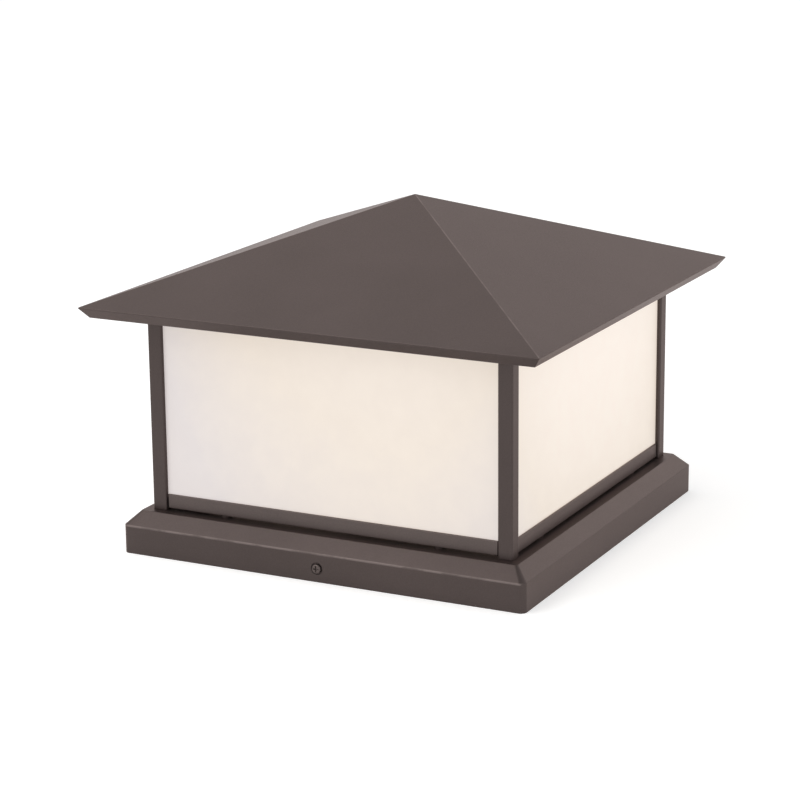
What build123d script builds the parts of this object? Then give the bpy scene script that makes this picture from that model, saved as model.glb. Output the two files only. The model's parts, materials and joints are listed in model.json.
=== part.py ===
from build123d import *
import math
import os

# Pier mount lantern, in millimetres, +Z up.
# The origin is on top of the pier, under the middle of the base. The front looks toward -Y.

# Roof. Its span is measured across the sharp line of the eaves, and its overhang from the cage.
roof_span = 407.0
roof_overhang = 40.1
eave_height = 210.5
apex_height = 285.0
fascia_drop = 9.0
fascia_run_in = 7.0
roof_sheet = 2.0
roof_edge_round = 0.8

# Base casting, standing out from the cage by the ledge
base_ledge = 18.6
base_height = 35.0
chamfer_rise = 11.0
chamfer_run = 11.2
base_corner_radius = 5.0
base_top_radius = 2.5
base_wall = 3.5
deck_thickness = 3.5
post_boss_radius = 7.0
post_boss_height = 6.0
weep_hole_radius = 2.5
weep_hole_inset = 22.0

# Cage of posts and rails
frame_drop = 2.5
post_size = 12.7
post_edge_radius = 1.6
post_screw_inset = 5.0
rail_height = 12.0
rail_depth = 11.0
rail_setback = 2.0
rail_end_gap = 0.9
rail_edge_radius = 0.5
rail_foot_height = 1.8
rail_foot_radius = 4.5
rail_screw_share = 0.65
frame_sheet = 2.0
frame_band = 24.0

# Panes and the channels that hold them
pane_thickness = 3.0
pane_setback = 4.0
pane_face_clearance = 0.4
pane_end_clearance = 0.5
channel_depth = 4.2
groove_depth = 5.0
setting_block_length = 20.0
setting_block_height = 1.5
setting_block_share = 0.6

# Roof collar, the skirt that fits over the cage
collar_sheet = 1.5
collar_clearance = 0.5
collar_reach = 8.5
collar_lip = 8.0

# Screws
screw_radius = 2.0
thread_clearance = 0.05
passage_clearance = 0.3
pan_head_radius = 4.0
pan_head_height = 2.8
pan_head_round = 1.3
recess_share = 1.3
recess_arm_share = 0.28
recess_depth_share = 0.55
flat_head_radius = 3.8
flat_head_clearance = 0.1
post_screw_bite = 10.0
rail_screw_bite = 4.5
tapped_spare = 0.5
pan_screw_bite = 4.5
small_screw_radius = 1.5
small_head_radius = 2.7
small_head_height = 1.8
small_head_round = 0.8
small_screw_bite = 3.0

# Side screws, their recess, pads and nuts
side_screw_height = 11.3
side_recess_radius = 4.9
side_recess_depth = 1.2
side_pad_radius = 8.0
side_pad_height = 2.2
tab_slip = 0.3
side_nut_size = 7.0
side_nut_thickness = 3.2
nut_slip = 0.1

# Thumbscrews
thumb_head_radius = 5.5
thumb_head_length = 7.0
thumb_bite = 8.0
thumb_flute_radius = 0.6
thumb_flutes = 18

# Mounting plate
plate_sheet = 2.5
plate_width = 130.0
tab_neck = 28.5
plate_corner_radius = 8.0
anchor_spacing_x = 90.0
anchor_spacing_y = 200.0
anchor_hole_radius = 3.75
tab_width = 40.0
tab_height = 20.0
tab_bend_radius = 1.5
earth_screw_offset = 13.0
earth_screw_end = 1.2
cable_hole_radius = 11.0

# Grommet and bushing
grommet_bore_radius = 8.5
grommet_flange_radius = 14.0
grommet_flange_height = 1.6
ring_fit_clearance = 0.1
deck_hole_radius = 9.0
bushing_bore_radius = 7.0
bushing_flange_radius = 11.5
bushing_flange_height = 1.4

# Reflector pan
pan_radius = 70.0
pan_height = 16.0
pan_sheet = 1.2
pan_flange = 9.0
pan_edge_round = 4.0
lead_hole_radius = 3.0

# Lampholders and lamps
lamp_circle_radius = 42.0
lamp_count = 3
lamp_start_angle = 90.0
holder_radius = 11.0
holder_height = 26.0
holder_floor = 5.0
holder_foot_length = 40.0
holder_foot_width = 14.0
holder_foot_height = 3.0
holder_screw_offset = 15.0
shell_inner_radius = 6.0
shell_sheet = 0.6
shell_height = 19.0
shell_clearance = 0.1
contact_radius = 2.2
contact_height = 3.0
cap_clearance = 0.1
cap_length = 20.0
cap_tip_radius = 2.4
cap_tip_height = 2.5
lamp_length = 76.0
lamp_radius = 17.0
lamp_widest_share = 0.38
lamp_neck_share = 0.9
lamp_flare_shares = (0.78, 0.15)
lamp_taper_shares = (0.76, 0.7)
lamp_point_share = 0.12
lamp_glass = 0.9

# Internal leads and the terminal block
lead_radius = 1.7
lead_circle_radius = 3.6
lead_bend_radius = 4.0
block_length = 36.0
block_width = 20.0
block_height = 14.0
block_start = 18.0
block_screw_inset = 6.0
near_lead_drop = 4.6
far_lead_drop = 10.2

# Cuts run past the surfaces that they open by this much
cut_overrun = 2.0

# Places worked out from the sizes above
roof_half = roof_span / 2
cage_half = roof_half - roof_overhang
cage_width = 2 * cage_half
base_half = cage_half + base_ledge
base_width = 2 * base_half
roof_slope = (apex_height - eave_height) / roof_half
slope_drop = roof_sheet * math.hypot(1, roof_slope)
fascia_half = roof_half - fascia_run_in
fascia_bottom = eave_height - fascia_drop
fascia_skin = roof_sheet * math.hypot(fascia_run_in, fascia_drop) / fascia_drop
fascia_lean = fascia_run_in / fascia_drop

base_side_height = base_height - chamfer_rise
deck_underside = base_height - deck_thickness
base_inner_half = base_half - base_wall
base_top_half = base_half - chamfer_run

frame_base = eave_height - frame_drop
frame_top = frame_base + frame_sheet
post_length = frame_base - base_height
post_centre = cage_half - post_size / 2
post_screw_place = cage_half - post_screw_inset

rail_length = cage_width - 2 * post_size - 2 * rail_end_gap
rail_centre = cage_half - rail_setback - rail_depth / 2
bottom_rail_base = base_height + rail_foot_height
bottom_rail_top = bottom_rail_base + rail_height
top_rail_base = frame_base - rail_height
rail_screw_step = rail_length / 2 * rail_screw_share

pane_centre = cage_half - pane_setback - pane_thickness / 2
channel_width = pane_thickness + 2 * pane_face_clearance
pane_width = cage_width - 2 * post_size + 2 * (channel_depth - pane_end_clearance)
pane_bottom = bottom_rail_top - groove_depth + setting_block_height
pane_top = top_rail_base + groove_depth - pane_end_clearance
setting_block_step = pane_width / 2 * setting_block_share
rail_fixings = [(-rail_screw_step, -rail_centre), (rail_screw_step, -rail_centre)]
post_fixing = (-post_screw_place, -post_screw_place)

tapped_radius = screw_radius + thread_clearance
passage_radius = screw_radius + passage_clearance
small_tapped_radius = small_screw_radius + thread_clearance
small_passage_radius = small_screw_radius + passage_clearance

thumb_height = frame_base - (rail_height - groove_depth) / 2
collar_inner = cage_half + collar_clearance
collar_outer = collar_inner + collar_sheet
collar_bottom = frame_base - collar_reach

side_pad_face = base_inner_half - side_pad_height
tab_face = side_pad_face - tab_slip
tab_back = tab_face - plate_sheet
side_head_seat = base_half - side_recess_depth
nut_outer_face = tab_back - nut_slip
nut_inner_face = nut_outer_face - side_nut_thickness
tab_bend_outer = tab_bend_radius + plate_sheet
plate_length = 2 * (tab_back - tab_neck)

pan_top = base_height + pan_height
pan_flange_radius = pan_radius + pan_flange
pan_screw_circle = pan_radius + pan_flange / 2
shell_outer_radius = shell_inner_radius + shell_sheet
cap_radius = shell_inner_radius - cap_clearance
holder_bore_radius = shell_outer_radius + shell_clearance
holder_floor_height = pan_top + holder_floor
cap_base = holder_floor_height + contact_height
cap_top = cap_base + cap_length


# Places spread evenly around a circle, from an angle in degrees
def circle_places(radius, count, start_angle):
    angles = [math.radians(start_angle + turn * 360 / count) for turn in range(count)]
    return [(radius * math.cos(angle), radius * math.sin(angle)) for angle in angles]


lamp_places = circle_places(lamp_circle_radius, lamp_count, lamp_start_angle)
pan_screw_places = circle_places(
    pan_screw_circle, lamp_count, lamp_start_angle + 180 / lamp_count
)
holder_screw_places = [
    (x + step * -y / lamp_circle_radius, y + step * x / lamp_circle_radius)
    for x, y in lamp_places
    for step in (-holder_screw_offset, holder_screw_offset)
]
block_screw_places = [
    (0, block_start + block_screw_inset),
    (0, block_start + block_length - block_screw_inset),
]

side_names = ("front", "right", "rear", "left")
post_names = ("front_left", "front_right", "rear_right", "rear_left")

os.makedirs("parts", exist_ok=True)


# Writes one finished piece under its node name
def save(piece, node):
    piece.label = node
    export_step(piece, f"parts/{node}.step")


# A level plane at a height, turned by quarters so that each side in turn lies toward -Y of its sketch
def side_plane(height, quarter):
    return Plane.XY.offset(height).rotated((0, 0, 90 * quarter))


# A solid whose level sections are squares, from the right half of its outline
def square_section_solid(half_outline):
    mirrored = [(-x, z) for x, z in reversed(half_outline) if x > 0]
    reach = max(x for x, z in half_outline) + cut_overrun
    with BuildPart() as solid:
        with BuildSketch(Plane.XZ):
            with BuildLine():
                Polyline(*half_outline, *mirrored, close=True)
            make_face()
        extrude(amount=reach, both=True)
        with BuildSketch(Plane.YZ):
            with BuildLine():
                Polyline(*half_outline, *mirrored, close=True)
            make_face()
        extrude(amount=reach, both=True, mode=Mode.INTERSECT)
    return solid.part


# A level plane at a height
def level(height):
    return Plane.XY.offset(height)


# The same places on all four sides of the square
def around(places):
    turned = []
    for quarter in range(4):
        angle = math.radians(90 * quarter)
        for x, y in places:
            across = x * math.cos(angle) - y * math.sin(angle)
            along = x * math.sin(angle) + y * math.cos(angle)
            turned.append((across, along))
    return turned


# Screws with round heads: the heads stand on the seat plane, the shanks run back from it
def round_head_screws(seat, places, shank_radius, head, grip):
    head_radius, head_height, head_round = head
    with BuildPart() as screws:
        with BuildSketch(seat):
            with Locations(*places):
                Circle(head_radius)
        extrude(amount=head_height)
        tops = screws.faces().filter_by(
            lambda face: seat.to_local_coords(face.center()).Z > head_height - head_round / 2
        )
        fillet(tops.edges(), radius=head_round)
        with BuildSketch(seat):
            with Locations(*places):
                Circle(shank_radius)
        extrude(amount=-grip)
        with BuildSketch(seat.offset(head_height)):
            with Locations(*places):
                Rectangle(head_radius * recess_share, head_radius * recess_arm_share)
                Rectangle(head_radius * recess_arm_share, head_radius * recess_share)
        extrude(amount=-head_height * recess_depth_share, mode=Mode.SUBTRACT)
    return screws.part


# Screws with flat heads that lie flush with the plane
def flat_head_screws(flush, places, grip):
    cone_height = flat_head_radius - screw_radius
    top_down = (Align.CENTER, Align.CENTER, Align.MAX)
    with BuildPart() as screws:
        with Locations(flush):
            with Locations(*places):
                Cone(screw_radius, flat_head_radius, cone_height, align=top_down)
                Cylinder(screw_radius, grip, align=top_down)
        with BuildSketch(flush):
            with Locations(*places):
                Rectangle(flat_head_radius * recess_share, flat_head_radius * recess_arm_share)
                Rectangle(flat_head_radius * recess_arm_share, flat_head_radius * recess_share)
        extrude(amount=-cone_height * recess_depth_share, mode=Mode.SUBTRACT)
    return screws.part


# Roof: a hipped shell of one sheet thickness with its fascia leaning in and down
roof_outline = [
    (fascia_half, fascia_bottom),
    (roof_half, eave_height),
    (0, apex_height),
]
hollow_bottom = fascia_bottom - cut_overrun
fold_height = (
    eave_height
    + (roof_half - fascia_half + fascia_skin + fascia_bottom * fascia_lean) * roof_slope
    - slope_drop
) / (1 + fascia_lean * roof_slope)
hollow_outline = [
    (fascia_half - fascia_skin - cut_overrun * fascia_lean, hollow_bottom),
    (fascia_half - fascia_skin + (fold_height - fascia_bottom) * fascia_lean, fold_height),
    (0, apex_height - slope_drop),
]
roof_outer = square_section_solid(roof_outline)
roof_hollow = square_section_solid(hollow_outline)

with BuildPart() as roof_shell:
    add(roof_outer)
    hips = roof_shell.edges().filter_by(lambda edge: edge.center().Z > eave_height + roof_sheet)
    eaves = roof_shell.edges().filter_by(lambda edge: abs(edge.center().Z - eave_height) < roof_sheet)
    fillet(hips + eaves, radius=roof_edge_round)
    add(roof_hollow, mode=Mode.SUBTRACT)
save(roof_shell.part, "roof_shell")

# Roof collar: a folded skirt with a lip that stands on the top frame
thumb_slot_width = 2 * passage_radius
with BuildPart() as roof_collar:
    with BuildSketch(level(collar_bottom)):
        Rectangle(2 * collar_outer, 2 * collar_outer)
        Rectangle(2 * collar_inner, 2 * collar_inner, mode=Mode.SUBTRACT)
    extrude(amount=apex_height - collar_bottom)
    add(roof_hollow, mode=Mode.INTERSECT)
    with BuildSketch(level(collar_bottom)):
        Rectangle(2 * collar_outer, 2 * collar_outer)
        Rectangle(2 * collar_inner, 2 * collar_inner, mode=Mode.SUBTRACT)
    extrude(amount=frame_top - collar_bottom)
    with BuildSketch(level(frame_top)):
        Rectangle(2 * collar_outer, 2 * collar_outer)
        Rectangle(2 * (cage_half - collar_lip), 2 * (cage_half - collar_lip), mode=Mode.SUBTRACT)
    extrude(amount=collar_sheet)
    with BuildSketch(Plane.YZ):
        with Locations((0, thumb_height)):
            Circle(passage_radius)
        with Locations((0, (thumb_height + collar_bottom - cut_overrun) / 2)):
            Rectangle(thumb_slot_width, thumb_height - collar_bottom + cut_overrun)
    extrude(amount=collar_outer + cut_overrun, both=True, mode=Mode.SUBTRACT)
save(roof_collar.part, "roof_collar")

# Base casting: upright sides, a broad chamfer, a level deck and a hollow under it
chamfer_end_inner = base_inner_half - chamfer_run
weep_place = cage_half - post_size - weep_hole_inset
with BuildPart() as base_casting:
    with BuildSketch():
        RectangleRounded(base_width, base_width, base_corner_radius)
    extrude(amount=base_side_height)
    with BuildSketch(level(base_side_height)):
        RectangleRounded(base_width, base_width, base_corner_radius)
    with BuildSketch(level(base_height)):
        RectangleRounded(2 * base_top_half, 2 * base_top_half, base_top_radius)
    loft(ruled=True)
    with BuildSketch():
        Rectangle(2 * base_inner_half, 2 * base_inner_half)
    extrude(amount=deck_underside - chamfer_rise, mode=Mode.SUBTRACT)
    with BuildSketch(level(deck_underside - chamfer_rise)):
        Rectangle(2 * base_inner_half, 2 * base_inner_half)
    with BuildSketch(level(deck_underside)):
        Rectangle(2 * chamfer_end_inner, 2 * chamfer_end_inner)
    loft(ruled=True, mode=Mode.SUBTRACT)
    for quarter in range(4):
        with BuildSketch(side_plane(deck_underside, quarter)):
            with Locations((-post_screw_place, -post_screw_place)):
                Circle(post_boss_radius)
        extrude(amount=-post_boss_height)
        with BuildSketch(side_plane(deck_underside - post_boss_height, quarter)):
            with Locations((-post_screw_place, -post_screw_place)):
                Circle(passage_radius)
        extrude(amount=post_boss_height + deck_thickness, mode=Mode.SUBTRACT)
        with BuildSketch(side_plane(deck_underside, quarter)):
            with Locations(*rail_fixings):
                Circle(passage_radius)
            with Locations((-weep_place, -weep_place)):
                Circle(weep_hole_radius)
        extrude(amount=deck_thickness, mode=Mode.SUBTRACT)
    with BuildSketch(level(deck_underside)):
        Circle(deck_hole_radius)
        with Locations(*pan_screw_places):
            Circle(tapped_radius)
        with Locations(*block_screw_places):
            Circle(small_tapped_radius)
    extrude(amount=deck_thickness, mode=Mode.SUBTRACT)
    for outward in (-1, 1):
        wall_plane = Plane((0, 0, side_screw_height), x_dir=(1, 0, 0), z_dir=(0, outward, 0))
        with BuildSketch(wall_plane.offset(side_pad_face)):
            Circle(side_pad_radius)
        extrude(amount=side_pad_height)
        with BuildSketch(wall_plane.offset(side_pad_face)):
            Circle(passage_radius)
        extrude(amount=base_half - side_pad_face, mode=Mode.SUBTRACT)
        with BuildSketch(wall_plane.offset(side_head_seat)):
            Circle(side_recess_radius)
        extrude(amount=side_recess_depth, mode=Mode.SUBTRACT)
save(base_casting.part, "base_casting")

# Posts: square bars with two glazing channels and a tapped hole along each end
channel_middle = cage_half - post_size + channel_depth / 2
for quarter, corner in enumerate(post_names):
    with BuildPart() as post:
        with BuildSketch(side_plane(base_height, quarter)):
            with Locations((-post_centre, -post_centre)):
                RectangleRounded(post_size, post_size, post_edge_radius)
            with Locations((-channel_middle, -pane_centre)):
                Rectangle(channel_depth, channel_width, mode=Mode.SUBTRACT)
            with Locations((-pane_centre, -channel_middle)):
                Rectangle(channel_width, channel_depth, mode=Mode.SUBTRACT)
            with Locations((-post_screw_place, -post_screw_place)):
                Circle(tapped_radius, mode=Mode.SUBTRACT)
        extrude(amount=post_length)
    save(post.part, f"post_{corner}")


# A bar between two posts, with its glazing groove cut from the top or from the underside
def grooved_bar(quarter, bar_base, groove_on_top):
    groove_face = bar_base + rail_height if groove_on_top else bar_base
    with BuildPart() as bar:
        with BuildSketch(side_plane(bar_base, quarter)):
            with Locations((0, -rail_centre)):
                Rectangle(rail_length, rail_depth)
        extrude(amount=rail_height)
        long_edges = bar.edges().filter_by(lambda edge: edge.length > rail_length - rail_depth)
        fillet(long_edges, radius=rail_edge_radius)
        with BuildSketch(side_plane(groove_face, quarter)):
            with Locations((0, -pane_centre)):
                Rectangle(rail_length + cut_overrun, channel_width)
        extrude(amount=-groove_depth if groove_on_top else groove_depth, mode=Mode.SUBTRACT)
    return bar.part


# Bottom rails stand on two low feet and are screwed up through the deck
for quarter, side in enumerate(side_names):
    bar = grooved_bar(quarter, bottom_rail_base, groove_on_top=True)
    with BuildPart() as bottom_rail:
        add(bar)
        with BuildSketch(side_plane(base_height, quarter)):
            with Locations(*rail_fixings):
                Circle(rail_foot_radius)
        extrude(amount=rail_foot_height)
        with BuildSketch(side_plane(base_height, quarter)):
            with Locations(*rail_fixings):
                Circle(tapped_radius)
        extrude(amount=rail_foot_height + rail_screw_bite + tapped_spare, mode=Mode.SUBTRACT)
    save(bottom_rail.part, f"bottom_rail_{side}")

# Top rails hang from the top frame; the left and right ones also take a thumbscrew
for quarter, side in enumerate(side_names):
    bar = grooved_bar(quarter, top_rail_base, groove_on_top=False)
    with BuildPart() as top_rail:
        add(bar)
        with BuildSketch(side_plane(frame_base, quarter)):
            with Locations(*rail_fixings):
                Circle(tapped_radius)
        extrude(amount=-rail_screw_bite - tapped_spare, mode=Mode.SUBTRACT)
        if side in ("left", "right"):
            outward = 1 if side == "right" else -1
            bore_plane = Plane((0, 0, thumb_height), x_dir=(0, 1, 0), z_dir=(outward, 0, 0))
            with BuildSketch(bore_plane.offset(cage_half)):
                Circle(tapped_radius)
            extrude(amount=-rail_setback - thumb_bite - tapped_spare, mode=Mode.SUBTRACT)
    save(top_rail.part, f"top_rail_{side}")

# Opal panes, which stand in the grooves and the post channels
for quarter, side in enumerate(side_names):
    with BuildPart() as pane:
        with BuildSketch(side_plane(pane_bottom, quarter)):
            with Locations((0, -pane_centre)):
                Rectangle(pane_width, pane_thickness)
        extrude(amount=pane_top - pane_bottom)
    save(pane.part, f"pane_{side}")

# Setting blocks under the panes, two to a side
with BuildPart() as setting_blocks:
    for quarter in range(4):
        with BuildSketch(side_plane(pane_bottom - setting_block_height, quarter)):
            with Locations((-setting_block_step, -pane_centre), (setting_block_step, -pane_centre)):
                Rectangle(setting_block_length, pane_thickness)
        extrude(amount=setting_block_height)
save(setting_blocks.part, "setting_blocks")

# Top frame: a flat ring screwed to the posts and the top rails
frame_opening = cage_width - 2 * frame_band
with BuildPart() as top_frame:
    with BuildSketch(level(frame_base)):
        RectangleRounded(cage_width, cage_width, post_edge_radius)
        Rectangle(frame_opening, frame_opening, mode=Mode.SUBTRACT)
    extrude(amount=frame_sheet)
    for quarter in range(4):
        with Locations(side_plane(frame_top, quarter)):
            with Locations(post_fixing, *rail_fixings):
                CounterSinkHole(
                    radius=passage_radius,
                    counter_sink_radius=flat_head_radius + flat_head_clearance,
                    depth=frame_sheet,
                    counter_sink_angle=90,
                )
save(top_frame.part, "top_frame")

# Fixings of the cage, a group of alike screws to a node
downward = Plane((0, 0, 0), x_dir=(1, 0, 0), z_dir=(0, 0, -1))
pan_head = (pan_head_radius, pan_head_height, pan_head_round)
small_head = (small_head_radius, small_head_height, small_head_round)
save(
    round_head_screws(
        downward.offset(post_boss_height - deck_underside),
        around([post_fixing]),
        screw_radius,
        pan_head,
        post_boss_height + deck_thickness + post_screw_bite,
    ),
    "post_base_screws",
)
save(
    round_head_screws(
        downward.offset(-deck_underside),
        around(rail_fixings),
        screw_radius,
        pan_head,
        deck_thickness + rail_foot_height + rail_screw_bite,
    ),
    "rail_base_screws",
)
save(
    flat_head_screws(level(frame_top), around([post_fixing]), frame_sheet + post_screw_bite),
    "frame_post_screws",
)
save(
    flat_head_screws(level(frame_top), around(rail_fixings), frame_sheet + rail_screw_bite),
    "frame_rail_screws",
)

# Thumbscrews under the left and right eaves, with fluted heads
for side, outward in (("left", -1), ("right", 1)):
    seat = Plane((0, 0, thumb_height), x_dir=(0, 1, 0), z_dir=(outward, 0, 0)).offset(collar_outer)
    with BuildPart() as thumbscrew:
        with BuildSketch(seat):
            Circle(thumb_head_radius)
            with PolarLocations(thumb_head_radius, thumb_flutes):
                Circle(thumb_flute_radius, mode=Mode.SUBTRACT)
        extrude(amount=thumb_head_length)
        with BuildSketch(seat):
            Circle(screw_radius)
        extrude(amount=-collar_sheet - collar_clearance - rail_setback - thumb_bite)
    save(thumbscrew.part, f"thumbscrew_{side}")

# Side screws at the front and rear of the base, and the square nuts behind the tabs
for side, outward in (("front", -1), ("rear", 1)):
    seat = Plane((0, 0, side_screw_height), x_dir=(1, 0, 0), z_dir=(0, outward, 0))
    side_screw = round_head_screws(
        seat.offset(side_head_seat), [(0, 0)], screw_radius, pan_head, side_head_seat - nut_inner_face
    )
    save(side_screw, f"side_screw_{side}")

with BuildPart() as side_nuts:
    for outward in (-1, 1):
        nut_plane = Plane((0, 0, side_screw_height), x_dir=(1, 0, 0), z_dir=(0, outward, 0))
        with BuildSketch(nut_plane.offset(nut_outer_face)):
            Rectangle(side_nut_size, side_nut_size)
            Circle(tapped_radius, mode=Mode.SUBTRACT)
        extrude(amount=-side_nut_thickness)
save(side_nuts.part, "side_nuts")

# Mounting plate: a flat web with four anchor holes and an upright slotted tab at each end
bend_start = tab_face - tab_bend_outer
outer_sag = tab_bend_outer * math.sqrt(1 / 2)
inner_sag = tab_bend_radius * math.sqrt(1 / 2)
with BuildPart() as mounting_plate:
    with BuildSketch():
        RectangleRounded(plate_width, plate_length, plate_corner_radius)
        Rectangle(tab_width, 2 * bend_start)
    extrude(amount=plate_sheet)
    for outward in (-1, 1):
        with BuildSketch(Plane.YZ):
            with BuildLine():
                Polyline(
                    (outward * tab_face, tab_bend_outer),
                    (outward * tab_face, tab_height),
                    (outward * tab_back, tab_height),
                    (outward * tab_back, tab_bend_outer),
                )
                ThreePointArc(
                    (outward * tab_back, tab_bend_outer),
                    (outward * (bend_start + inner_sag), tab_bend_outer - inner_sag),
                    (outward * bend_start, plate_sheet),
                )
                Line((outward * bend_start, plate_sheet), (outward * bend_start, 0))
                ThreePointArc(
                    (outward * bend_start, 0),
                    (outward * (bend_start + outer_sag), tab_bend_outer - outer_sag),
                    (outward * tab_face, tab_bend_outer),
                )
            make_face()
        extrude(amount=tab_width / 2, both=True)
    with BuildSketch(Plane.XZ):
        with Locations((0, side_screw_height)):
            Circle(passage_radius)
        with Locations((0, (side_screw_height + tab_height + cut_overrun) / 2)):
            Rectangle(2 * passage_radius, tab_height + cut_overrun - side_screw_height)
    extrude(amount=tab_face + cut_overrun, both=True, mode=Mode.SUBTRACT)
    with BuildSketch(Plane.XZ):
        with Locations((earth_screw_offset, side_screw_height)):
            Circle(tapped_radius)
    extrude(amount=tab_face + cut_overrun, mode=Mode.SUBTRACT)
    with BuildSketch():
        Circle(cable_hole_radius)
        with GridLocations(anchor_spacing_x, anchor_spacing_y, 2, 2):
            Circle(anchor_hole_radius)
    extrude(amount=plate_sheet, mode=Mode.SUBTRACT)
save(mounting_plate.part, "mounting_plate")

# Earthing screw in the front tab, driven from the inside
earth_seat = Plane((0, 0, side_screw_height), x_dir=(1, 0, 0), z_dir=(0, 1, 0)).offset(-tab_back)
earth_screw = round_head_screws(
    earth_seat, [(earth_screw_offset, 0)], screw_radius, pan_head, plate_sheet + earth_screw_end
)
save(earth_screw, "earth_screw")

# Rubber grommet in the cable hole of the plate
with BuildPart() as cable_grommet:
    with BuildSketch():
        Circle(cable_hole_radius - ring_fit_clearance)
    extrude(amount=plate_sheet)
    with BuildSketch(level(plate_sheet)):
        Circle(grommet_flange_radius)
    extrude(amount=grommet_flange_height)
    with BuildSketch():
        Circle(grommet_bore_radius)
    extrude(amount=plate_sheet + grommet_flange_height, mode=Mode.SUBTRACT)
save(cable_grommet.part, "cable_grommet")

# Bushing in the middle of the deck, which the leads pass through
with BuildPart() as deck_bushing:
    with BuildSketch(level(deck_underside)):
        Circle(deck_hole_radius - ring_fit_clearance)
    extrude(amount=deck_thickness)
    with BuildSketch(level(base_height)):
        Circle(bushing_flange_radius)
    extrude(amount=bushing_flange_height)
    with BuildSketch(level(deck_underside)):
        Circle(bushing_bore_radius)
    extrude(amount=deck_thickness + bushing_flange_height, mode=Mode.SUBTRACT)
save(deck_bushing.part, "deck_bushing")

# Reflector pan: an upside-down pan with a screwed flange, which carries the lampholders
with BuildPart() as reflector_pan:
    with BuildSketch(level(base_height)):
        Circle(pan_radius)
    extrude(amount=pan_height)
    fillet(reflector_pan.edges().group_by(Axis.Z)[-1], radius=pan_edge_round)
    with BuildSketch(level(base_height)):
        Circle(pan_flange_radius)
    extrude(amount=pan_sheet)
    with BuildSketch(level(base_height)):
        Circle(pan_radius - pan_sheet)
    extrude(amount=pan_height - pan_edge_round, mode=Mode.SUBTRACT)
    with BuildSketch(level(pan_top - pan_edge_round)):
        Circle(pan_radius - pan_sheet)
    with BuildSketch(level(pan_top - pan_sheet)):
        Circle(pan_radius - pan_edge_round)
    loft(ruled=True, mode=Mode.SUBTRACT)
    with BuildSketch(level(base_height)):
        with Locations(*pan_screw_places):
            Circle(passage_radius)
        with Locations(*lamp_places):
            Circle(lead_hole_radius)
        with Locations(*holder_screw_places):
            Circle(small_tapped_radius)
    extrude(amount=pan_height, mode=Mode.SUBTRACT)
save(reflector_pan.part, "reflector_pan")
save(
    round_head_screws(
        level(base_height + pan_sheet), pan_screw_places, screw_radius, pan_head, pan_sheet + pan_screw_bite
    ),
    "pan_screws",
)

# Lampholders, their screw shells and centre contacts, and the lamps
lamp_neck_radius = cap_radius * lamp_neck_share


# Middle and end points of the two arcs from the neck of a lamp, past its widest place, to its point
def lamp_arc_points(radius, length):
    flare_width, flare_height = lamp_flare_shares
    taper_width, taper_height = lamp_taper_shares
    return [
        (radius * flare_width, length * flare_height),
        (radius, length * lamp_widest_share),
        (radius * taper_width, length * taper_height),
        (radius * lamp_point_share, length),
    ]


for number, (x, y) in enumerate(lamp_places, start=1):
    turn = lamp_start_angle + (number - 1) * 360 / lamp_count
    axis = Plane((x, y, 0), z_dir=(0, 0, 1), x_dir=(1, 0, 0))
    foot_plane = Plane((x, y, pan_top)).rotated((0, 0, turn + 90))
    with BuildPart() as lampholder:
        with BuildSketch(foot_plane):
            SlotOverall(holder_foot_length, holder_foot_width)
            with Locations((-holder_screw_offset, 0), (holder_screw_offset, 0)):
                Circle(small_passage_radius, mode=Mode.SUBTRACT)
        extrude(amount=holder_foot_height)
        with BuildSketch(axis.offset(pan_top)):
            Circle(holder_radius)
        extrude(amount=holder_height)
        with BuildSketch(axis.offset(holder_floor_height)):
            Circle(holder_bore_radius)
        extrude(amount=holder_height - holder_floor, mode=Mode.SUBTRACT)
    save(lampholder.part, f"lampholder_{number}")

    with BuildPart() as screw_shell:
        with BuildSketch(axis.offset(holder_floor_height)):
            Circle(shell_outer_radius)
            Circle(shell_inner_radius, mode=Mode.SUBTRACT)
        extrude(amount=shell_height)
    save(screw_shell.part, f"screw_shell_{number}")

    with BuildPart() as centre_contact:
        with BuildSketch(axis.offset(holder_floor_height)):
            Circle(contact_radius)
        extrude(amount=contact_height)
    save(centre_contact.part, f"centre_contact_{number}")

    with BuildPart() as lamp_cap:
        with BuildSketch(axis.offset(cap_base)):
            Circle(cap_tip_radius)
        extrude(amount=cap_tip_height)
        with BuildSketch(axis.offset(cap_base + cap_tip_height)):
            Circle(cap_radius)
        extrude(amount=cap_length - cap_tip_height)
    save(lamp_cap.part, f"lamp_cap_{number}")

    profile_plane = Plane((x, y, cap_top), x_dir=(1, 0, 0), z_dir=(0, -1, 0))
    with BuildPart() as lamp_glass_envelope:
        with BuildSketch(profile_plane):
            with BuildLine():
                flare, widest, taper, point = lamp_arc_points(lamp_radius, lamp_length)
                ThreePointArc((lamp_neck_radius, 0), flare, widest)
                ThreePointArc(widest, taper, point)
                inner_flare, inner_widest, inner_taper, inner_point = lamp_arc_points(
                    lamp_radius - lamp_glass, lamp_length - lamp_glass
                )
                Polyline(point, (0, lamp_length), (0, lamp_length - lamp_glass), inner_point)
                ThreePointArc(inner_point, inner_taper, inner_widest)
                ThreePointArc(inner_widest, inner_flare, (lamp_neck_radius - lamp_glass, 0))
                Line((lamp_neck_radius - lamp_glass, 0), (lamp_neck_radius, 0))
            make_face()
        revolve(axis=Axis((x, y, 0), (0, 0, 1)))
    save(lamp_glass_envelope.part, f"lamp_glass_{number}")

save(
    round_head_screws(
        level(pan_top + holder_foot_height),
        holder_screw_places,
        small_screw_radius,
        small_head,
        holder_foot_height + small_screw_bite,
    ),
    "lampholder_screws",
)

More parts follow.
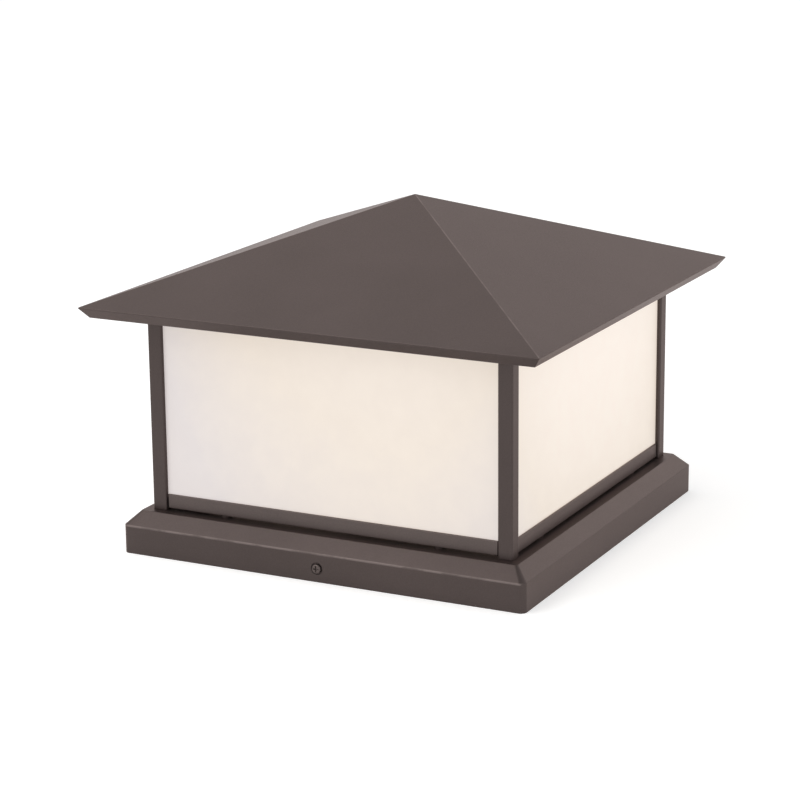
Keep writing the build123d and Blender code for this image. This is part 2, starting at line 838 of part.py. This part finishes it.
# Internal leads, from under each lampholder through the bushing to the terminal block
lead_run_height = base_height + lead_bend_radius + lead_radius
for number, (x, y) in enumerate(lamp_places, start=1):
    near = number == 1
    entry_height = deck_underside - (near_lead_drop if near else far_lead_drop)
    inner_x = x * lead_circle_radius / lamp_circle_radius
    inner_y = y * lead_circle_radius / lamp_circle_radius
    with BuildPart() as lead:
        with BuildLine():
            FilletPolyline(
                (x, y, pan_top),
                (x, y, lead_run_height),
                (inner_x, inner_y, lead_run_height),
                (inner_x, inner_y, entry_height),
                (inner_x, block_start, entry_height),
                radius=lead_bend_radius,
            )
        with BuildSketch(Plane((x, y, pan_top), z_dir=(0, 0, -1))):
            Circle(lead_radius)
        sweep()
    save(lead.part, f"lead_{number}")

# Terminal block under the deck, and its two screws
with BuildPart() as terminal_block:
    with BuildSketch(level(deck_underside)):
        with Locations((0, block_start + block_length / 2)):
            Rectangle(block_width, block_length)
        with Locations(*block_screw_places):
            Circle(small_passage_radius, mode=Mode.SUBTRACT)
    extrude(amount=-block_height)
save(terminal_block.part, "terminal_block")
save(
    round_head_screws(
        downward.offset(block_height - deck_underside),
        [(x, -y) for x, y in block_screw_places],
        small_screw_radius,
        small_head,
        block_height + small_screw_bite,
    ),
    "block_screws",
)
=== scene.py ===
import json
import math

import bmesh
import bpy
from mathutils import Matrix, Vector


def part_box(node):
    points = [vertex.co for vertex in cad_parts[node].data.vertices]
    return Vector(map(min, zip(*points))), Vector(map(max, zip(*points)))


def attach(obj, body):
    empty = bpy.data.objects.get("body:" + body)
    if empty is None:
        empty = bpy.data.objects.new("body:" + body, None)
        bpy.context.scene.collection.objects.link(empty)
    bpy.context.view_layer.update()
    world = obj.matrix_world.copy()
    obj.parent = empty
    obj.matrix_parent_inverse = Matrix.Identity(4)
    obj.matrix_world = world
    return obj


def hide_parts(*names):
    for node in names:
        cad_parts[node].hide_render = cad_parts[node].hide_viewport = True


# Pier mount lantern, in metres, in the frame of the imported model.
# The front looks toward -Y, and the base stands on z = 0.

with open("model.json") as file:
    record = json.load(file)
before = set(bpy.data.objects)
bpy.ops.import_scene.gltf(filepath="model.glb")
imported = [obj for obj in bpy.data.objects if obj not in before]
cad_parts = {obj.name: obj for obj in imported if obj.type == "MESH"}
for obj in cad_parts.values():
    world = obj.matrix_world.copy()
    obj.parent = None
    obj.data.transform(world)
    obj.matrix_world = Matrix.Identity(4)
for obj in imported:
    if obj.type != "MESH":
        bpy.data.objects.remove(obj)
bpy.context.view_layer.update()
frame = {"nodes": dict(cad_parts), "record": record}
nodes = frame["nodes"]

# Camera, worked out from the photograph's perspective
camera_yaw = math.radians(25.519)
camera_pitch = math.radians(14.936)
camera_roll = math.radians(-0.217)
camera_distance = 2.1815
camera_lens = 115.18
sensor_width = 36.0
camera_shift_x = -0.075
target_height = 0.10682
target_right = 0.03689

# Lamps of the studio: name, place, size and power
studio_lamps = (
    ("front", (-1.3, -2.4, 1.5), 2.0, 17.5),
    ("top", (-0.5, -0.46, 1.08), 0.7, 2.6),
    ("side", (2.4, -0.9, 1.0), 1.6, 8.0),
    ("back", (0.95, 2.4, 1.15), 0.9, 3.3),
    ("roof", (-0.67, 0.70, 1.46), 0.9, 0.65),
)
lamp_white = (1.0, 0.985, 0.965)
lamp_aim = (0.0, 0.0, 0.12)

# Backdrop and floor
world_level = 0.70
floor_half = 12.0
floor_colour = (0.86, 0.86, 0.86, 1.0)
floor_lift = 0.40
floor_roughness = 0.9
floor_specular = 0.1

# Bronze powder coat
coat_roughness = 0.42
coat_flake_share = 0.8
coat_sheen = (1.0, 0.88, 0.85, 1.0)
coat_edge_radius = 0.0010
coat_roughness_spread = 0.05
coat_grain_scale = 900.0
coat_cloud_scale = 14.0
coat_speckle_scale = 2100.0
coat_grain_share = 0.6
coat_speckle_relief = 0.5
coat_relief = 0.00012
coat_relief_strength = 0.4
coat_tone_range = (0.32, 0.68)
# Painted highlight: pale colour of the broken lines along the chamfer's lower edge and the roof's
# hips, standing in for light caught by those edges
painted_highlight_colour = (0.150, 0.122, 0.116, 1.0)
# Painted highlight along the base's chamfer edge: its height, width and the facing where it shows
base_line_height = 0.0236
base_line_width = 0.0011
# Painted highlight along the roof's hips: its width and the facing where it shows
hip_line_width = 0.0010
line_core_share = 0.4
line_break_scale = 70.0
line_break_range = (0.38, 0.55)
line_least_cover = 0.45
base_line_facing = (0.2, 0.5)
hip_line_facing = (0.4, 0.7)

# Other materials
noise_range = (0.3, 0.7)
metal_edge_radius = 0.0003
metal_grain_share = 0.45
metal_stain_scale = 0.06
metal_roughness_reach = (-0.05, 0.07)
moulded_edge_radius = 0.0004
moulded_grain_share = 0.5
moulded_cloud_scale = 40.0
moulded_roughness_reach = (-0.04, 0.06)
fine_relief_strength = 0.5
weave_directions = ((1.0, 0.6, 1.0), (-1.0, 0.6, 1.0))
weave_scale = 420.0
weave_distortion = 0.3
weave_tones = ((0.3, (0.50, 0.49, 0.45, 1.0)), (0.9, (0.80, 0.79, 0.75, 1.0)))
weave_roughness = 0.75
weave_relief = 0.00015
weave_relief_strength = 0.8

# Threads of the lamp caps and screw shells
thread_pitch = 0.00254
thread_depth = 0.00044
thread_runout = 0.0010
thread_stations = 64
turned_sides = 48
cap_tip_radius = 0.0024
cap_cone_base = 0.0012
cap_cone_top = 0.0032
cap_collar = 0.0030
shell_sheet = 0.00016
cap_tip_shrink = 0.8
cap_tip_height = 0.0004
cap_cone_lip = 0.0006
cap_cone_inset = 0.0003
cap_root_inset = 0.0001
cap_rim = 0.0002
turned_sharp_angle = math.radians(38.0)

# Painted glow of the opal panes: emission set by place on each pane, not light from the lamps
# inside; the side panes are painted brighter than the front, and each pane brighter toward the top
# and dimmer toward its ends
glow_half = 0.147
glow_height = 0.115
front_level = 0.895
front_tilt = 0.47
front_edge_loss = 0.12
front_rise_gain = 0.90
side_level = 1.025
side_tilt = 0.20
side_edge_loss = 0.10
side_rise_gain = 1.2
glow_falloff_power = 2.6
glow_unevenness = 0.006
glow_low = 0.74
glow_high = 1.14
glow_edge = (0.447, 0.403, 0.398, 1.0)
glow_middle = (0.562, 0.482, 0.402, 1.0)
glow_middle_share = 0.42
glow_peak = (0.688, 0.602, 0.532, 1.0)
pane_tones = ((0.335, 0.325, 0.318, 1.0), (0.350, 0.340, 0.330, 1.0))
pane_roughness = (0.44, 0.56)
pane_mottle_scale = 60.0
pane_etch_scale = 1700.0
pane_relief = 0.00004
glass_ior = 1.5
glass_relief_strength = 0.3

# Lamp glasses, from the bottom of the glass (0) to its tip (1)
lamp_warmth = (
    (0.0, (0.62, 0.46, 0.26, 1.0)),
    (0.38, (0.98, 0.84, 0.58, 1.0)),
    (0.75, (0.86, 0.70, 0.46, 1.0)),
    (1.0, (0.70, 0.54, 0.34, 1.0)),
)
lamp_brightness = 0.75
lamp_glass_tones = ((0.78, 0.76, 0.70, 1.0), (0.86, 0.84, 0.79, 1.0))
lamp_glass_roughness = (0.28, 0.42)
lamp_frost_scale = 900.0
lamp_frost_relief = 0.00003


# Node tree helpers

# Sockets of a Mix node that mixes colours: share, first and second colour, and the result
mix_inputs = (0, 6, 7)
mix_result = 2
bevel_samples = 6


def new_material(name):
    material = bpy.data.materials.new(name)
    material.use_nodes = True
    tree = material.node_tree
    shader = tree.nodes["Principled BSDF"]
    return material, tree, shader


def object_coords(tree):
    return tree.nodes.new("ShaderNodeTexCoord").outputs["Object"]


def noise(tree, coords, scale, detail=2.0, roughness=0.5):
    node = tree.nodes.new("ShaderNodeTexNoise")
    node.inputs["Scale"].default_value = scale
    node.inputs["Detail"].default_value = detail
    node.inputs["Roughness"].default_value = roughness
    tree.links.new(coords, node.inputs["Vector"])
    return node.outputs["Fac"]


def ramp(tree, value, stops):
    node = tree.nodes.new("ShaderNodeValToRGB")
    points = node.color_ramp.elements
    points[0].position, points[0].color = stops[0][0], stops[0][1]
    points[1].position, points[1].color = stops[-1][0], stops[-1][1]
    for place, colour in stops[1:-1]:
        points.new(place).color = colour
    tree.links.new(value, node.inputs["Fac"])
    return node.outputs["Color"]


def toned(tree, value, reach, tones):
    """A blend of two tones, over the reach of the value."""
    return ramp(tree, value, list(zip(reach, tones)))


def mapped(tree, value, low, high, new_low, new_high):
    node = tree.nodes.new("ShaderNodeMapRange")
    tree.links.new(value, node.inputs["Value"])
    node.inputs["From Min"].default_value = low
    node.inputs["From Max"].default_value = high
    node.inputs["To Min"].default_value = new_low
    node.inputs["To Max"].default_value = new_high
    return node.outputs["Result"]


def maths(tree, operation, first, second=None):
    node = tree.nodes.new("ShaderNodeMath")
    node.operation = operation
    for socket, value in zip(node.inputs, (first, second)):
        if isinstance(value, (int, float)):
            socket.default_value = value
        elif value is not None:
            tree.links.new(value, socket)
    return node.outputs["Value"]


def mixed(tree, share, first, second):
    node = tree.nodes.new("ShaderNodeMix")
    node.data_type = "RGBA"
    for place, value in zip(mix_inputs, (share, first, second)):
        socket = node.inputs[place]
        if isinstance(value, (int, float, tuple)):
            socket.default_value = value
        else:
            tree.links.new(value, socket)
    return node.outputs[mix_result]


def bumped(tree, shader, height, distance, strength, normal=None):
    node = tree.nodes.new("ShaderNodeBump")
    node.inputs["Strength"].default_value = strength
    node.inputs["Distance"].default_value = distance
    tree.links.new(height, node.inputs["Height"])
    if normal is not None:
        tree.links.new(normal, node.inputs["Normal"])
    tree.links.new(node.outputs["Normal"], shader.inputs["Normal"])


def split(tree, vector):
    node = tree.nodes.new("ShaderNodeSeparateXYZ")
    tree.links.new(vector, node.inputs["Vector"])
    return node


def blended(tree, first, second, first_share):
    weighted = maths(tree, "MULTIPLY", first, first_share)
    return maths(tree, "ADD", weighted, maths(tree, "MULTIPLY", second, 1.0 - first_share))


def eased_normal(tree, radius):
    node = tree.nodes.new("ShaderNodeBevel")
    node.samples = bevel_samples
    node.inputs["Radius"].default_value = radius
    return node.outputs["Normal"]


# Materials

def powder_coat(name, dark, light, painted_highlight_line=None, line_width=0.0):
    """Satin bronze powder coat: dark and full of fine flakes, so it shows mostly what it reflects.

    It can carry a painted highlight, a pale broken line along an edge that stands in for light
    caught by that edge. The line function that is given returns the distance to that line and the
    share of it that shows.
    """
    material, tree, shader = new_material(name)
    coords = object_coords(tree)
    grain = noise(tree, coords, coat_grain_scale, detail=3.0, roughness=0.6)
    clouds = noise(tree, coords, coat_cloud_scale)
    speckle = noise(tree, coords, coat_speckle_scale, detail=1.0)
    tone = blended(tree, grain, clouds, coat_grain_share)
    colour = toned(tree, tone, coat_tone_range, (dark, light))
    # Painted highlight: a pale broken line mixed in where an edge would catch the light
    if painted_highlight_line is not None:
        geometry = tree.nodes.new("ShaderNodeNewGeometry")
        facing = split(tree, geometry.outputs["True Normal"])
        away, shown = painted_highlight_line(tree, split(tree, coords), facing)
        line = mapped(tree, away, line_width * line_core_share, line_width, 1.0, 0.0)
        gaps = noise(tree, coords, line_break_scale, detail=3.0)
        broken = mapped(tree, gaps, *line_break_range, line_least_cover, 1.0)
        cover = maths(tree, "MULTIPLY", maths(tree, "MULTIPLY", line, broken), shown)
        colour = mixed(tree, cover, colour, painted_highlight_colour)
    tree.links.new(colour, shader.inputs["Base Color"])
    least, most = coat_roughness - coat_roughness_spread, coat_roughness + coat_roughness_spread
    tree.links.new(mapped(tree, speckle, *noise_range, least, most), shader.inputs["Roughness"])
    shader.inputs["Metallic"].default_value = coat_flake_share
    shader.inputs["Specular Tint"].default_value = coat_sheen
    relief = maths(tree, "ADD", grain, maths(tree, "MULTIPLY", speckle, coat_speckle_relief))
    eased = eased_normal(tree, coat_edge_radius)
    bumped(tree, shader, relief, coat_relief, coat_relief_strength, eased)
    return material


def base_line(tree, place, normal):
    """Painted highlight along the chamfer's lower edge: how far away it is, and where it shows
    (not on the right side, because of how the light falls there).
    """
    away = maths(tree, "ABSOLUTE", maths(tree, "SUBTRACT", place.outputs["Z"], base_line_height))
    return away, mapped(tree, normal.outputs["X"], *base_line_facing, 1.0, 0.0)


def hip_line(tree, place, normal):
    """Painted highlight along the roof's hips: how far away they are, and where they show (not on
    the fascia).
    """
    across = maths(tree, "ABSOLUTE", place.outputs["X"])
    along = maths(tree, "ABSOLUTE", place.outputs["Y"])
    away = maths(tree, "ABSOLUTE", maths(tree, "SUBTRACT", across, along))
    return away, mapped(tree, normal.outputs["Z"], *hip_line_facing, 0.0, 1.0)


def opal_pane():
    """Etched opal glass with a painted glow: emission set by place that stands in for the light of
    the lamps behind it and dims toward the pane's ends; its own tone is a grey, so the painted
    glow sets its brightness.
    """
    material, tree, shader = new_material("opal_glass_etched")
    coords = object_coords(tree)
    parts = split(tree, coords)
    mottle = noise(tree, coords, pane_mottle_scale)
    etch = noise(tree, coords, pane_etch_scale)
    facing = split(tree, tree.nodes.new("ShaderNodeNewGeometry").outputs["True Normal"])
    faces_x = maths(tree, "POWER", facing.outputs["X"], 2.0)
    faces_y = maths(tree, "SUBTRACT", 1.0, faces_x)

    rise = maths(tree, "SUBTRACT", parts.outputs["Z"], glow_height)

    def pane_glow(place, level, tilt, loss, rise_gain):
        share = maths(tree, "DIVIDE", maths(tree, "ABSOLUTE", place), glow_half)
        lost = maths(tree, "MULTIPLY", maths(tree, "POWER", share, glow_falloff_power), loss)
        tilted = maths(tree, "ADD", maths(tree, "MULTIPLY", place, tilt), level)
        risen = maths(tree, "MULTIPLY", rise, rise_gain)
        return maths(tree, "ADD", maths(tree, "SUBTRACT", tilted, lost), risen)

    front_glow = pane_glow(
        parts.outputs["X"], front_level, front_tilt, front_edge_loss, front_rise_gain
    )
    side_glow = pane_glow(
        parts.outputs["Y"], side_level, side_tilt, side_edge_loss, side_rise_gain
    )
    front_part = maths(tree, "MULTIPLY", front_glow, faces_y)
    side_part = maths(tree, "MULTIPLY", side_glow, faces_x)
    glow = maths(tree, "ADD", front_part, side_part)
    uneven = mapped(tree, mottle, *noise_range, -glow_unevenness, glow_unevenness)
    share = mapped(tree, maths(tree, "ADD", glow, uneven), glow_low, glow_high, 0.0, 1.0)
    stops = [(0.0, glow_edge), (glow_middle_share, glow_middle), (1.0, glow_peak)]
    tree.links.new(ramp(tree, share, stops), shader.inputs["Emission Color"])
    shader.inputs["Emission Strength"].default_value = 1.0
    tree.links.new(toned(tree, mottle, noise_range, pane_tones), shader.inputs["Base Color"])
    tree.links.new(mapped(tree, etch, *noise_range, *pane_roughness), shader.inputs["Roughness"])
    shader.inputs["IOR"].default_value = glass_ior
    bumped(tree, shader, etch, pane_relief, glass_relief_strength)
    return material


def lit_lamp_glass():
    """White frosted lamp glass, warm and brightest around its widest part."""
    material, tree, shader = new_material("lamp_glass_frosted")
    coords = object_coords(tree)
    low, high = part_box("lamp_glass_1")
    height = mapped(tree, split(tree, coords).outputs["Z"], low.z, high.z, 0.0, 1.0)
    frost = noise(tree, coords, lamp_frost_scale)
    tree.links.new(ramp(tree, height, lamp_warmth), shader.inputs["Emission Color"])
    shader.inputs["Emission Strength"].default_value = lamp_brightness
    tree.links.new(toned(tree, frost, noise_range, lamp_glass_tones), shader.inputs["Base Color"])
    dulled = mapped(tree, frost, *noise_range, *lamp_glass_roughness)
    tree.links.new(dulled, shader.inputs["Roughness"])
    bumped(tree, shader, frost, lamp_frost_relief, glass_relief_strength)
    return material


def plated_metal(name, dark, light, scale, roughness, relief):
    """Bare or plated metal with a fine uneven grain."""
    material, tree, shader = new_material(name)
    coords = object_coords(tree)
    grain = noise(tree, coords, scale, detail=4.0, roughness=0.6)
    stain = noise(tree, coords, scale * metal_stain_scale)
    tone = blended(tree, grain, stain, metal_grain_share)
    colour = toned(tree, tone, noise_range, (dark, light))
    tree.links.new(colour, shader.inputs["Base Color"])
    shader.inputs["Metallic"].default_value = 1.0
    least, most = (roughness + reach for reach in metal_roughness_reach)
    dulled = mapped(tree, stain, *noise_range, least, most)
    tree.links.new(dulled, shader.inputs["Roughness"])
    eased = eased_normal(tree, metal_edge_radius)
    bumped(tree, shader, grain, relief, fine_relief_strength, eased)
    return material


def painted_or_moulded(name, dark, light, scale, roughness, relief, specular=0.5):
    """Enamel, ceramic, rubber or moulded plastic: two near tones, and a grain that suits it."""
    material, tree, shader = new_material(name)
    coords = object_coords(tree)
    grain = noise(tree, coords, scale, detail=3.0)
    clouds = noise(tree, coords, moulded_cloud_scale, detail=1.0)
    tone = blended(tree, grain, clouds, moulded_grain_share)
    colour = toned(tree, tone, noise_range, (dark, light))
    tree.links.new(colour, shader.inputs["Base Color"])
    least, most = (roughness + reach for reach in moulded_roughness_reach)
    dulled = mapped(tree, grain, *noise_range, least, most)
    tree.links.new(dulled, shader.inputs["Roughness"])
    shader.inputs["Specular IOR Level"].default_value = specular
    eased = eased_normal(tree, moulded_edge_radius)
    bumped(tree, shader, grain, relief, fine_relief_strength, eased)
    return material


def woven_sleeve():
    """Glass-fibre sleeve over a lead: a fine diagonal weave."""
    material, tree, shader = new_material("lead_sleeve_woven")
    coords = object_coords(tree)
    crossings = []
    for direction in weave_directions:
        mapping = tree.nodes.new("ShaderNodeVectorMath")
        mapping.operation = "MULTIPLY"
        mapping.inputs[1].default_value = direction
        tree.links.new(coords, mapping.inputs[0])
        wave = tree.nodes.new("ShaderNodeTexWave")
        wave.bands_direction = "DIAGONAL"
        wave.inputs["Scale"].default_value = weave_scale
        wave.inputs["Distortion"].default_value = weave_distortion
        tree.links.new(mapping.outputs["Vector"], wave.inputs["Vector"])
        crossings.append(wave.outputs["Fac"])
    weave = maths(tree, "MAXIMUM", *crossings)
    tree.links.new(ramp(tree, weave, weave_tones), shader.inputs["Base Color"])
    shader.inputs["Roughness"].default_value = weave_roughness
    bumped(tree, shader, weave, weave_relief, weave_relief_strength)
    return material


coat_tones = ((0.062, 0.049, 0.046, 1.0), (0.078, 0.061, 0.058, 1.0))
# Painted light: the same bronze coat painted lighter for the rails and side screws, standing in
# for the brighter light on them
painted_lighter_coat_tones = ((0.092, 0.074, 0.070, 1.0), (0.114, 0.092, 0.087, 1.0))

materials = {
    "bronze_coat": powder_coat("bronze_powder_coat", *coat_tones),
    # The base and roof coats carry painted highlight lines
    "base_coat": powder_coat("bronze_powder_coat_base", *coat_tones, base_line, base_line_width),
    "roof_coat": powder_coat("bronze_powder_coat_roof", *coat_tones, hip_line, hip_line_width),
    # Rails and side screws take the coat painted lighter, as painted light
    "rail_coat": powder_coat("bronze_powder_coat_rails", *painted_lighter_coat_tones),
    "bronze_screw": powder_coat("bronze_coated_steel", *painted_lighter_coat_tones),
    "opal_glass": opal_pane(),
    "lamp_glass": lit_lamp_glass(),
    "zinc_steel": plated_metal(
        "zinc_plated_steel", dark=(0.50, 0.51, 0.52, 1.0), light=(0.68, 0.69, 0.69, 1.0),
        scale=500.0, roughness=0.36, relief=0.00005,
    ),
    "green_screw": plated_metal(
        "green_passivated_steel", dark=(0.06, 0.28, 0.12, 1.0), light=(0.10, 0.40, 0.18, 1.0),
        scale=500.0, roughness=0.38, relief=0.00004,
    ),
    "brass": plated_metal(
        "bare_brass", dark=(0.60, 0.42, 0.17, 1.0), light=(0.76, 0.57, 0.28, 1.0),
        scale=600.0, roughness=0.28, relief=0.00003,
    ),
    "nickel_cap": plated_metal(
        "nickel_plate", dark=(0.58, 0.56, 0.52, 1.0), light=(0.74, 0.72, 0.68, 1.0),
        scale=700.0, roughness=0.22, relief=0.00002,
    ),
    "white_enamel": painted_or_moulded(
        "white_enamel", dark=(0.74, 0.74, 0.71, 1.0), light=(0.80, 0.80, 0.78, 1.0),
        scale=300.0, roughness=0.30, relief=0.00006,
    ),
    "ceramic_white": painted_or_moulded(
        "glazed_ceramic", dark=(0.72, 0.70, 0.65, 1.0), light=(0.79, 0.78, 0.74, 1.0),
        scale=250.0, roughness=0.22, relief=0.00006,
    ),
    "black_rubber": painted_or_moulded(
        "black_rubber", dark=(0.016, 0.016, 0.016, 1.0), light=(0.030, 0.030, 0.030, 1.0),
        scale=1200.0, roughness=0.72, relief=0.00008, specular=0.3,
    ),
    "black_nylon": painted_or_moulded(
        "black_nylon", dark=(0.020, 0.020, 0.022, 1.0), light=(0.034, 0.034, 0.036, 1.0),
        scale=900.0, roughness=0.5, relief=0.00005, specular=0.4,
    ),
    "terminal_ivory": painted_or_moulded(
        "ivory_plastic", dark=(0.62, 0.58, 0.45, 1.0), light=(0.70, 0.66, 0.53, 1.0),
        scale=700.0, roughness=0.42, relief=0.00004,
    ),
    "lead_sleeve": woven_sleeve(),
}

slot_of = {part["node"]: part["material_slot"] for part in frame["record"]["subparts"]}
coat_of = {"base_casting": "base_coat", "roof_shell": "roof_coat"}
rail_names = ("bottom_rail_", "top_rail_")
coat_of.update({name: "rail_coat" for name in nodes if name.startswith(rail_names)})
for name, node in nodes.items():
    node.data.materials.clear()
    node.data.materials.append(materials[coat_of.get(name, slot_of[name])])


# Screw threads of the lamp caps and their shells, which are plain cylinders in the solids

def thread_share(height, angle, start, stop):
    """Place on the thread's wave, from 0 in a root to 1 on a crest, easing to 1 at both ends."""
    wave = 0.5 + 0.5 * math.cos(2 * math.pi * (height - start) / thread_pitch - angle)
    fade = min(1.0, max(0.0, min(height - start, stop - height) / thread_runout))
    return 1.0 - fade * (1.0 - wave)


def turned_piece(name, centre, stations, hollow):
    """A closed turned mesh.

    Each station is a height, a radius, and the depth, start and stop of the thread there.
    """
    mesh = bpy.data.meshes.new(name)
    shape = bmesh.new()
    rings = []
    for height, radius, depth, start, stop in stations:
        ring = []
        for step in range(turned_sides):
            angle = 2 * math.pi * step / turned_sides
            reach = radius - depth * (1.0 - thread_share(height, angle, start, stop))
            ring.append(shape.verts.new((
                centre.x + reach * math.cos(angle), centre.y + reach * math.sin(angle), height
            )))
        rings.append(ring)
    pairs = list(zip(rings, rings[1:]))
    if hollow:
        pairs.append((rings[-1], rings[0]))
    else:
        shape.faces.new(rings[0])
        shape.faces.new(rings[-1])
    for lower, upper in pairs:
        for step in range(turned_sides):
            after = (step + 1) % turned_sides
            shape.faces.new((lower[step], lower[after], upper[after], upper[step]))
    bmesh.ops.recalc_face_normals(shape, faces=shape.faces)
    shape.to_mesh(mesh)
    shape.free()
    mesh.polygons.foreach_set("use_smooth", [True] * len(mesh.polygons))
    mesh.set_sharp_from_angle(angle=turned_sharp_angle)
    piece = bpy.data.objects.new(name, mesh)
    bpy.context.scene.collection.objects.link(piece)
    return piece


def finish_piece(piece, slot, body, node):
    piece.data.materials.append(materials[slot])
    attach(piece, body)
    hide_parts(node)


def evenly(low, high, count):
    return [low + (high - low) * step / count for step in range(count + 1)]


def threaded_cap(number, body):
    """Lamp cap: a solder tip, a coned insulator and a rolled thread under a plain collar."""
    low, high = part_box(f"lamp_cap_{number}")
    centre = (low + high) / 2
    radius = (high.x - low.x) / 2
    start, stop = low.z + cap_cone_top, high.z - cap_collar
    profile = [
        (low.z, cap_tip_radius * cap_tip_shrink),
        (low.z + cap_tip_height, cap_tip_radius),
        (low.z + cap_cone_base, cap_tip_radius),
        (start - cap_cone_lip, radius - thread_depth - cap_cone_inset),
        (start, radius - cap_root_inset),
    ]
    stations = [(height, reach, 0.0, start, stop) for height, reach in profile]
    heights = evenly(start, stop, thread_stations)
    stations += [(height, radius, thread_depth, start, stop) for height in heights]
    stations += [
        (high.z - cap_rim, radius, 0.0, start, stop),
        (high.z, radius - cap_rim, 0.0, start, stop),
    ]
    piece = turned_piece(f"lamp_cap_threaded_{number}", centre, stations, hollow=False)
    finish_piece(piece, "nickel_cap", body, f"lamp_cap_{number}")


def threaded_shell(number, body):
    """Screw shell: a thin sheet with the same rolled thread."""
    low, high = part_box(f"screw_shell_{number}")
    centre = (low + high) / 2
    outer = (high.x - low.x) / 2
    inner = outer - shell_sheet
    heights = evenly(low.z, high.z, thread_stations)
    outside = [(height, outer, thread_depth, low.z, high.z) for height in heights]
    inside = [(height, inner, thread_depth, low.z, high.z) for height in reversed(heights)]
    piece = turned_piece(f"screw_shell_threaded_{number}", centre, outside + inside, hollow=True)
    finish_piece(piece, slot_of[f"screw_shell_{number}"], body, f"screw_shell_{number}")


for number, lamp_body in enumerate(("lamp_one", "lamp_two", "lamp_three"), start=1):
    threaded_cap(number, lamp_body)
    threaded_shell(number, "lantern")


# Floor, backdrop, lamps and camera

def seen_directly(tree):
    """1 for rays that show the background (in view, in gloss or through glass), 0 for others."""
    path = tree.nodes.new("ShaderNodeLightPath")
    seen = maths(tree, "MAXIMUM", path.outputs["Is Camera Ray"], path.outputs["Is Glossy Ray"])
    return maths(tree, "MAXIMUM", seen, path.outputs["Is Transmission Ray"])


def pale_floor():
    mesh = bpy.data.meshes.new("floor")
    half = floor_half
    corners = [(-half, -half, 0), (half, -half, 0), (half, half, 0), (-half, half, 0)]
    mesh.from_pydata(corners, [], [(0, 1, 2, 3)])
    floor = bpy.data.objects.new("floor", mesh)
    bpy.context.scene.collection.objects.link(floor)
    material, tree, shader = new_material("pale_floor")
    shader.inputs["Base Color"].default_value = floor_colour
    shader.inputs["Roughness"].default_value = floor_roughness
    shader.inputs["Specular IOR Level"].default_value = floor_specular
    shader.inputs["Emission Color"].default_value = (1.0, 1.0, 1.0, 1.0)
    seen = seen_directly(tree)
    tree.links.new(maths(tree, "MULTIPLY", seen, floor_lift), shader.inputs["Emission Strength"])
    mesh.materials.append(material)


def white_world():
    world = bpy.data.worlds.new("studio")
    bpy.context.scene.world = world
    world.use_nodes = True
    tree = world.node_tree
    background = tree.nodes["Background"]
    background.inputs["Color"].default_value = (1.0, 1.0, 1.0, 1.0)
    seen = seen_directly(tree)
    tree.links.new(mapped(tree, seen, 0.0, 1.0, world_level, 1.0), background.inputs["Strength"])


def area_lamp(name, place, size, power):
    light = bpy.data.lights.new(name, "AREA")
    light.shape = "DISK"
    light.size = size
    light.energy = power
    light.color = lamp_white
    lamp = bpy.data.objects.new(name, light)
    lamp.location = place
    aim = Vector(lamp_aim) - Vector(place)
    lamp.rotation_euler = aim.to_track_quat("-Z", "Y").to_euler()
    bpy.context.scene.collection.objects.link(lamp)


def photograph_camera():
    data = bpy.data.cameras.new("camera")
    data.lens = camera_lens
    data.sensor_width = sensor_width
    data.sensor_fit = "HORIZONTAL"
    data.shift_x = camera_shift_x
    right = Vector((math.cos(camera_yaw), math.sin(camera_yaw), 0.0))
    back = Vector((
        math.sin(camera_yaw) * math.cos(camera_pitch),
        -math.cos(camera_yaw) * math.cos(camera_pitch),
        math.sin(camera_pitch),
    ))
    up = back.cross(right)
    across = math.cos(camera_roll) * right + math.sin(camera_roll) * up
    upward = math.cos(camera_roll) * up - math.sin(camera_roll) * right
    target = Vector((0.0, 0.0, target_height)) + right * target_right
    camera = bpy.data.objects.new("camera", data)
    camera.location = target + back * camera_distance
    camera.rotation_euler = Matrix((across, upward, back)).transposed().to_euler()
    bpy.context.scene.collection.objects.link(camera)
    bpy.context.scene.camera = camera


pale_floor()
white_world()
for lamp in studio_lamps:
    area_lamp(*lamp)
photograph_camera()
bpy.context.scene.view_settings.view_transform = "Standard"
